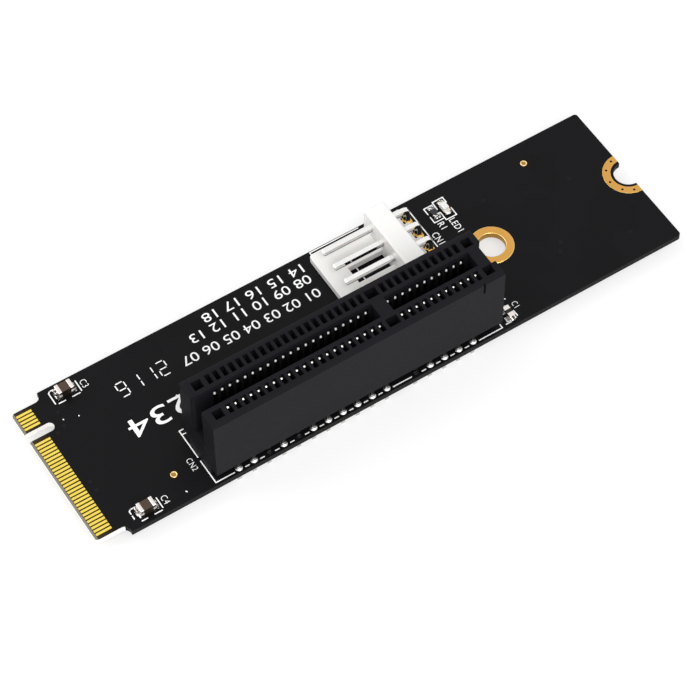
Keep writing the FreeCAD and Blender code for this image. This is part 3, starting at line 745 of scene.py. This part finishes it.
# Reflowed solder: bright, with a frost of fine crystals.
tin_solder = toned_finish("reflowed_tin_solder", {"Metallic": 1.0}, size=0.35 * mm,
                          depth=0.008 * mm, roughness=(0.1, 0.16), tones=("#c9cacb", "#f0f0f0"))

# Solder from the wave: whiter and more frosted, because it cooled more slowly.
wave_solder = toned_finish("wave_soldered_tin", {"Metallic": 1.0}, size=0.3 * mm,
                           depth=0.012 * mm, roughness=(0.28, 0.42), tones=("#dcdcdb", "#fafafa"))

near_joints = [(x, slot_middle - outer_row) for x in contact_places[::2]]
joints = []
for index, x in enumerate(contact_places):
    near_row, far_row = (outer_row, inner_row) if index % 2 == 0 else (inner_row, outer_row)
    joints += [(x, slot_middle - near_row), (x, slot_middle + far_row)]


def solder_cone(foot, tip, rise):
    """Concave cone of solder between a pad and the pin that stands in it."""
    profile = ((0.0, 0.0), (0.04, 0.16), (0.3, 0.42), (0.66, 0.74), (0.94, 0.95), (1.0, 1.0))
    return turned([(foot + (tip - foot) * inward, rise * upward) for upward, inward in profile],
                  cone_sides)


dome_rings = [(dome_radius * math.cos(turn), dome_rise * math.sin(turn))
              for turn in (0, 0.35, 0.7, 1.05, 1.35, 1.5)]
masked_rings = [(radius * masked_width, height * masked_height) for radius, height in dome_rings]
masked = [joint for number, joint in enumerate(near_joints, 1) if number in covered_joints]
shiny = [joint for joint in near_joints if joint not in masked]
shiny += [joint for joint in joints if joint not in near_joints]
fit(set_out(turned(dome_rings, joint_sides), shiny), "slot_joints_top", wave_solder,
    ["slot_solder_top"])
fit(set_out(turned(masked_rings, joint_sides), masked), "slot_joints_under_mask", via_mask)
fit(set_out(solder_cone(foot=0.52 * mm, tip=0.16 * mm, rise=0.7 * mm), (), joints),
    "slot_joints_underside", tin_solder, ["slot_solder_bottom"])
fit(set_out(solder_cone(foot=0.8 * mm, tip=0.36 * mm, rise=0.8 * mm), (), leg_places),
    "header_joints_underside", tin_solder, ["header_solder"])
filled_rings = [(filled_via_radius, 0), (filled_via_radius * 0.9, 0.02 * mm),
                (filled_via_radius * 0.5, 0.035 * mm)]
fit(set_out(turned(filled_rings, joint_sides), [(x * mm, y * mm) for x, y in filled_vias]),
    "solder_filled_vias", tin_solder)

fillet_length = 0.36 * mm
resistor_fillet_length = 0.16 * mm
fillet_overlap = 0.1 * mm
fillet_rise = 0.45 * mm
fillet_climb = 0.8
fillet_hollow = 0.93
fillet_rounding = 0.03 * mm
pad_overhang = 0.1 * mm
near_zero = 0.01 * mm


def chip_fillets(node_name, along, reach=fillet_length):
    """Concave solder fillets in front of both ends of a chip, on pads wider than the chip."""
    low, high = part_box(node_name)
    fillets = []
    for outer, sign in ((low[along], -1), (high[along], 1)):
        tip = outer + sign * reach
        fillet_low, fillet_high = low.copy(), high.copy()
        fillet_low[1 - along] -= pad_overhang
        fillet_high[1 - along] += pad_overhang
        fillet_low.z = board_top
        fillet_high.z = board_top + min(fillet_rise, (high.z - low.z) * fillet_climb)
        fillet_low[along], fillet_high[along] = sorted((outer - sign * fillet_overlap, tip))
        bpy.ops.object.select_all(action="DESELECT")
        bpy.ops.mesh.primitive_cube_add(size=1, location=(fillet_low + fillet_high) / 2,
                                        scale=fillet_high - fillet_low)
        fillet = bpy.context.object
        bpy.ops.object.transform_apply()
        for edge in fillet.data.edges:
            ends = [fillet.data.vertices[index].co for index in edge.vertices]
            edge.select = all(abs(end[along] - tip) < near_zero
                              and abs(end.z - fillet_high.z) < near_zero for end in ends)
        bpy.ops.object.mode_set(mode="EDIT")
        bpy.ops.mesh.select_mode(type="EDGE")
        bpy.ops.mesh.bevel(offset=min(reach, fillet_high.z - fillet_low.z) * fillet_hollow,
                           segments=5, profile=0.25)
        bpy.ops.object.mode_set(mode="OBJECT")
        fillets.append(round_edges(fillet, fillet_rounding, sharp_angle=60))
    return join(fillets)


chip_joints = [chip_fillets("capacitor_far_terminals", 0),
               chip_fillets("capacitor_near_terminals", 0),
               chip_fillets("capacitor_slot_terminals", 1),
               chip_fillets("resistor_terminals", 1, resistor_fillet_length),
               chip_fillets("led_terminals", 1)]
fit(join(chip_joints), "chip_fillets", solder_with_painted_reflection, ["chip_solder_joints"])

# The capacitor beside the slot sits on two tinned pads that are wider than the chip.
chip_low, chip_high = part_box("capacitor_slot_terminals")
pad_reach = 0.38 * mm
pad_side = 0.15 * mm
pad_length = 0.72 * mm
pad_rise = 0.09 * mm
pad_rounding = 0.04 * mm
near_pad_y = chip_low.y - 0.06 * mm
far_pad_y = chip_high.y + 0.16 * mm - pad_length
tinned_pads = []
for pad_y in (near_pad_y, far_pad_y):
    corner = Vector((chip_low.x - pad_reach, pad_y, board_top))
    far_corner = Vector((chip_high.x + pad_side, pad_y + pad_length, board_top + pad_rise))
    tinned_pads.append(rounded_block(corner, far_corner, pad_rounding))
fit(join(tinned_pads), "slot_capacitor_pads", wave_solder)

# --- Printed legend ---------------------------------------
# White epoxy ink screened on the mask: outlines that show where the slot, the header and the chips
# go, plain reference designators, and plain counting numbers. Sizes are in millimetres.
legend_line = 0.15
ink_thickness = 0.015
crossing_lift = 1.2

# Screened ink: chalky white, and rough from the screen's mesh.
legend_ink = toned_finish("white_screened_ink", {"Specular IOR Level": 0.3}, size=0.08 * mm,
                          depth=0.006 * mm, roughness=(0.5, 0.7), tones=("#efefee", "#ffffff"))

# A round dab of ink, turned by half a side, so that it can be drawn out into a line at its middle.
stamp_sides = 12
half_side = math.pi / stamp_sides
line_stamp = turned([(legend_line / 2 * mm, 0), (legend_line / 2 * mm, ink_thickness * 0.7 * mm),
                     (legend_line * 0.45 * mm, ink_thickness * mm)], stamp_sides)
line_stamp.data.transform(Matrix.Rotation(half_side, 4, "Z"))
legend = []


def print_line(*points):
    """Run of straight printed lines with round ends; lines across the card lie a little higher."""
    for start, end in zip(points, points[1:]):
        run = (Vector(end) - Vector(start)) * mm
        line = bpy.data.objects.new("legend_line", line_stamp.data.copy())
        bpy.context.scene.collection.objects.link(line)
        for vertex in line.data.vertices:
            if vertex.co.x > 0:
                vertex.co.x += run.length
        lift = Matrix.Diagonal((1, 1, 1.0 if abs(run.x) > abs(run.y) else crossing_lift, 1))
        line.data.transform(on_top(start[0] * mm, start[1] * mm)
                            @ Matrix.Rotation(math.atan2(run.y, run.x), 4, "Z") @ lift)
        legend.append(line)


def print_text(words, start, height, reach, turn, boldness=0.0, spacing=1.0):
    """Words from a start on their base line, made to a height and a reach along the line."""
    bpy.ops.object.select_all(action="DESELECT")
    bpy.ops.object.text_add()
    text = bpy.context.object
    text.data.body = words
    text.data.resolution_u = 4
    text.data.extrude = 0.01  # any depth: it is made to the ink's further down
    text.data.offset = boldness
    text.data.space_character = spacing
    bpy.ops.object.convert(target="MESH")
    text = bpy.context.object
    corners = [Vector(corner) for corner in text.bound_box]
    low, size = corners[0], corners[6] - corners[0]
    fitted = Matrix.Diagonal((reach * mm / size.x, height * mm / size.y,
                              ink_thickness * mm / size.z, 1))
    text.data.transform(on_top(start[0] * mm, start[1] * mm)
                        @ Matrix.Rotation(math.radians(turn), 4, "Z") @ fitted
                        @ Matrix.Translation(-low))
    legend.append(text)


# Slot outline, broken where the solder joints come through it.
slot_line_x = 15.15
slot_line_y = -10.61
slot_end_line_x = 54.35
dash_start, dash_end = 0.74, 1.21
dashed_stretches = ((0.0, 37.5), (41.8, 49.5))
print_line((15.68, -2.43), (slot_line_x, -2.43), (slot_line_x, -6.6))
print_line((slot_line_x, -3.03), (15.65, -3.03))
print_line((slot_line_x, -7.2), (slot_line_x, slot_line_y), (17.6, slot_line_y))
for x in contact_places[::2]:
    if any(low < x / mm < high for low, high in dashed_stretches):
        print_line((x / mm + dash_start, slot_line_y), (x / mm + dash_end, slot_line_y))
print_line((39.1, slot_line_y), (41.6, slot_line_y))
print_line((51.1, slot_line_y), (slot_end_line_x, slot_line_y), (slot_end_line_x, -10.08))

# Header outline, showing behind the ledge, beside the tray and through the tray's window.
header_line_x = 54.45
print_line((53.9, 10.2), (header_line_x, 10.2), (header_line_x, -0.85), (41.1, -0.85))
print_line((41.1, 10.3), (41.1, 10.83), (47.9, 10.83))
print_line((44.6, 4.0), (44.6, 5.9))

# Boxes round the chips.
print_line((5.75, 10.38), (5.3, 10.38), (5.04, 10.15), (5.04, 8.5))
print_line((5.44, 8.33), (6.27, 8.33))
print_line((7.23, 8.33), (8.2, 8.33))
print_line((8.5, 8.5), (8.5, 10.05))
print_line((4.98, -8.64), (4.98, -9.0))
print_line((4.98, -9.3), (4.98, -9.75))
print_line((4.98, -8.62), (5.2, -8.42), (5.8, -8.42))
print_line((5.6, -10.44), (6.3, -10.44))
print_line((7.27, -10.44), (8.2, -10.44))
print_line((8.44, -10.17), (8.44, -8.68))
print_line((56.83, -9.3), (56.83, -10.1))
print_line((55.0, -10.45), (56.0, -10.45))
print_line((57.42, 7.45), (57.54, 7.35), (57.54, 6.08), (59.03, 6.08), (59.03, 7.27))
print_line((59.0, 8.3), (59.0, 9.16), (57.52, 9.14), (57.46, 7.95))
print_line((56.1, 7.4), (56.1, 6.44), (57.4, 6.44))
print_line((56.1, 7.9), (56.1, 8.85), (57.3, 8.85))

# Reference designators, read from the tab's side of the card; the smallest have thinner strokes.
designator_turn = -90
designator_spacing = 1.12
thin = -0.012
designators = (("C3", (8.82, 9.76), 0.8, 1.08, thin), ("C4", (8.8, -8.86), 0.78, 1.12, thin),
               ("C1", (57.13, -8.25), 0.75, 0.82, thin), ("R1", (56.25, 6.1), 0.85, 0.95, 0.0),
               ("LED1", (57.72, 5.85), 0.85, 2.1, 0.0), ("CN1", (54.75, 5.2), 0.9, 1.8, 0.0),
               ("CN2", (13.75, -6.2), 0.72, 1.75, thin))
for words, start, height, reach, boldness in designators:
    print_text(words, start, height, reach, designator_turn, boldness, designator_spacing)

# Short ticks beside contacts.
print_line((11.72, -9.76), (11.8, -9.88))
print_line((17.35, 1.93), (17.43, 1.97))
print_line((56.85, -7.3), (56.93, -7.38))

# Counting numbers, read from the card's end.
number_turn = 180
print_text("01 02 03 04 05 06 07", (39.1, 6.1), 1.3, 18.8, number_turn)
print_text("08 09 10 11 12 13", (39.2, 8.35), 1.3, 16.5, number_turn)
print_text("14 15 16 17 18", (39.2, 10.1), 1.3, 13.8, number_turn)
print_text("1234", (20.3, 1.95), 2.6, 9.9, number_turn)

# Segmented numerals; the letters of each name its lit segments, a to g.
digit_width = 1.12
segment_trim = 0.2
low_level, middle_level, top_level = 7.07, 6.03, 5.05
lit_segments = {"1": "bc", "2": "abged", "6": "afedcg"}
for numeral, left in (("6", 13.14), ("1", 16.06), ("1", 17.87), ("2", 18.54)):
    right = left - digit_width
    runs = {"a": ((left, top_level), (right, top_level)),
            "b": ((right, middle_level), (right, top_level)),
            "c": ((right, low_level), (right, middle_level)),
            "d": ((left, low_level), (right, low_level)),
            "e": ((left, low_level), (left, middle_level)),
            "f": ((left, middle_level), (left, top_level)),
            "g": ((left, middle_level), (right, middle_level))}
    for segment in lit_segments[numeral]:
        start, end = (Vector(point) for point in runs[segment])
        trim = (end - start).normalized() * segment_trim
        print_line(tuple(start + trim), tuple(end - trim))

bpy.data.objects.remove(line_stamp)
fit(join(legend), "printed_legend", legend_ink)

# --- Studio -----------------------------------------------
# A white table and backdrop under soft light from above and from both sides. The paper and the air
# glow a little for what looks at them, so that metal shows a white room round it.
floor_size = 4.0
floor_middle_x = 40 * mm
floor_level = -1.52 * mm
backlit_share = 0.6
air_strength = 0.55
seen_air_strength = 1.0
pure_white = (1.0, 1.0, 1.0, 1.0)


def seen_measure(tree):
    """1 for what the camera, a gloss or a clear material sees, and 0 for the light on the card."""
    path = add_node(tree, "LightPath")
    direct = add_node(tree, "Math", {"operation": "MAXIMUM"},
                      {0: path.outputs["Is Camera Ray"], 1: path.outputs["Is Glossy Ray"]})
    return add_node(tree, "Math", {"operation": "MAXIMUM"},
                    {0: direct, 1: path.outputs["Is Transmission Ray"]})


bpy.ops.object.select_all(action="DESELECT")
bpy.ops.mesh.primitive_plane_add(size=floor_size, location=(floor_middle_x, 0.0, floor_level))
floor = bpy.context.object
floor.name = "studio_floor"
bpy.ops.object.transform_apply()
paper, tree, shader = start_finish(
    "white_studio_paper", {"Base Color": "#fdfdfd", "Roughness": 0.9, "Specular IOR Level": 0.0})
share = add_node(tree, "Math", {"operation": "MULTIPLY", 1: backlit_share}, {0: seen_measure(tree)})
glow = add_node(tree, "Emission", {"Color": pure_white, "Strength": 1.0})
lit_paper = add_node(tree, "MixShader", links={0: share, 1: shader, 2: glow})
link(tree, tree.nodes["Material Output"], {"Surface": lit_paper})
floor.data.materials.append(paper)

world = bpy.data.worlds.new("studio_air")
bpy.context.scene.world = world
world.use_nodes = True
tree = world.node_tree
tree.nodes.clear()
strength = add_node(tree, "MapRange", {"To Min": air_strength, "To Max": seen_air_strength},
                    {"Value": seen_measure(tree)})
air = add_node(tree, "Background", {"Color": pure_white}, {"Strength": strength})
add_node(tree, "OutputWorld", links={"Surface": air})

card_middle = (cad_box[0] + cad_box[1]) / 2
for name, offset, size, power in (("key_softbox", (-0.10, -0.42, 0.50), 0.5, 3.4),
                                  ("fill_softbox", (-0.35, 0.35, 0.45), 0.6, 2.0)):
    lamp_data = bpy.data.lights.new(name, "AREA")
    lamp_data.size = size
    lamp_data.energy = power
    lamp = bpy.data.objects.new(name, lamp_data)
    bpy.context.scene.collection.objects.link(lamp)
    lamp.location = card_middle + Vector(offset)
    lamp.rotation_euler = (-Vector(offset)).to_track_quat("-Z", "Y").to_euler()

camera_azimuth = math.radians(-31.864)
camera_elevation = math.radians(56.068)
camera_roll = math.radians(-0.791)
camera_distance = 329.56 * mm
camera_target = Vector((37.626, -3.577, 0.8)) * mm
camera_data = bpy.data.cameras.new("studio_camera")
camera_data.lens = 145.2
camera_data.sensor_width = 36.0
camera_data.clip_start = 0.01
camera = bpy.data.objects.new("studio_camera", camera_data)
bpy.context.scene.collection.objects.link(camera)
back = Vector((math.sin(camera_azimuth) * math.cos(camera_elevation),
               -math.cos(camera_azimuth) * math.cos(camera_elevation), math.sin(camera_elevation)))
camera.location = camera_target + back * camera_distance
aim = (-back).to_track_quat("-Z", "Y").to_matrix().to_4x4()
camera.rotation_euler = (aim @ Matrix.Rotation(camera_roll, 4, "Z")).to_euler()
bpy.context.scene.camera = camera
bpy.context.scene.view_settings.view_transform = "Standard"
